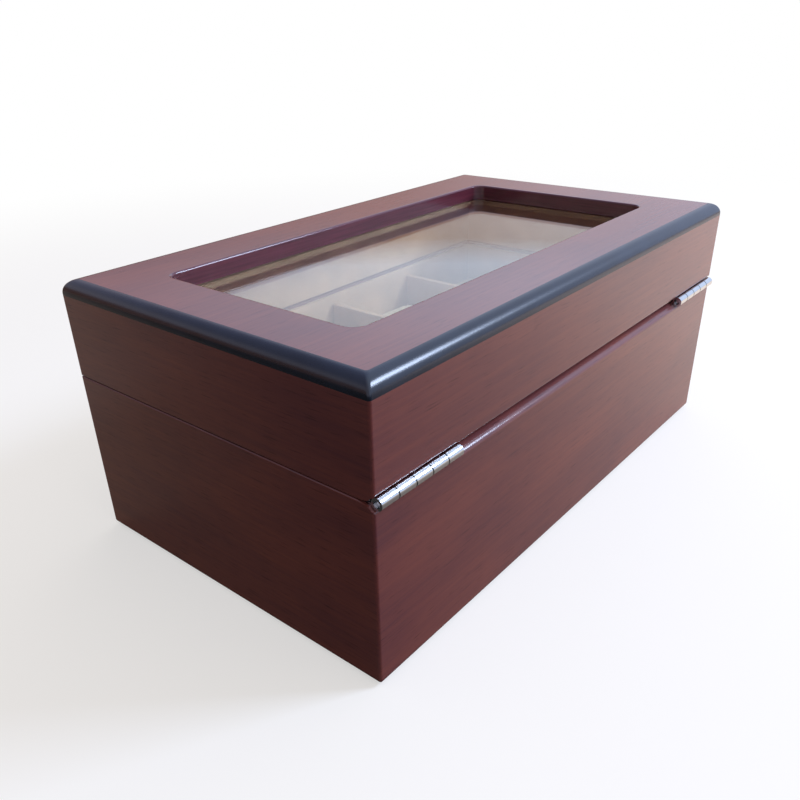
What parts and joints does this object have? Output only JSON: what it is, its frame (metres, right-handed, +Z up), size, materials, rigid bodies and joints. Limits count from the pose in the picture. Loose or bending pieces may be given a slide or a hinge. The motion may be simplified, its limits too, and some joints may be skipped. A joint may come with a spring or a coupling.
{
  "type": "pocket watch display box",
  "caption": "Wooden display box with a hinged lid, a glass window in its top, and padded wells that each hold a pocket watch.",
  "frame": {"origin": "centre of the underside, on the surface that the box stands on", "axes": "+X towards the right end as seen from the front, +Y towards the hinges at the rear, +Z up"},
  "size_m": [0.24, 0.143, 0.101],
  "materials": {
    "veneer": "red-brown veneer under gloss lacquer",
    "black_edge": "black gloss lacquer",
    "glass": "clear float glass",
    "raw_board": "bare fibreboard",
    "suede": "tan suede cloth on card",
    "cushion": "cream velvet",
    "felt": "black felt",
    "hinge_chrome": "polished chrome plate",
    "pin_steel": "drawn steel"
  },
  "bodies": {
    "base": {"base_front_wall": "veneer", "base_rear_wall": "veneer", "base_left_end": "veneer", "base_right_end": "veneer", "floor_panel": "raw_board", "underside_felt": "felt", "floor_lining": "cushion", "base_liner_front": "suede", "base_liner_rear": "suede", "base_liner_left": "suede", "base_liner_right": "suede", "long_divider": "suede", "cross_divider_left": "suede", "cross_divider_middle": "suede", "cross_divider_right": "suede", "watch_pad_front_1": "cushion", "watch_pad_front_2": "cushion", "watch_pad_front_3": "cushion", "watch_pad_front_4": "cushion", "watch_pad_rear_1": "cushion", "watch_pad_rear_2": "cushion", "watch_pad_rear_3": "cushion", "watch_pad_rear_4": "cushion", "hinge_left_base_leaf": "hinge_chrome", "hinge_right_base_leaf": "hinge_chrome", "hinge_left_pin": "pin_steel", "hinge_right_pin": "pin_steel", "base_leaf_screws": "hinge_chrome"},
    "lid": {"lid_front_wall": "veneer", "lid_rear_wall": "veneer", "lid_left_end": "veneer", "lid_right_end": "veneer", "lid_top_board": "veneer", "lid_edge_front": "black_edge", "lid_edge_rear": "black_edge", "lid_edge_left": "black_edge", "lid_edge_right": "black_edge", "glass_pane": "glass", "glass_retainer": "suede", "lid_liner_front": "suede", "lid_liner_rear": "suede", "lid_liner_left": "suede", "lid_liner_right": "suede", "hinge_left_lid_leaf": "hinge_chrome", "hinge_right_lid_leaf": "hinge_chrome", "lid_leaf_screws": "hinge_chrome"}
  },
  "joints": [
    {"name": "lid_hinge", "type": "hinge", "parent": "base", "child": "lid", "pos_m": [0, 0.0705, 0.06535], "axis": [-1, 0, 0], "range_deg": [0, 95]}
  ]
}
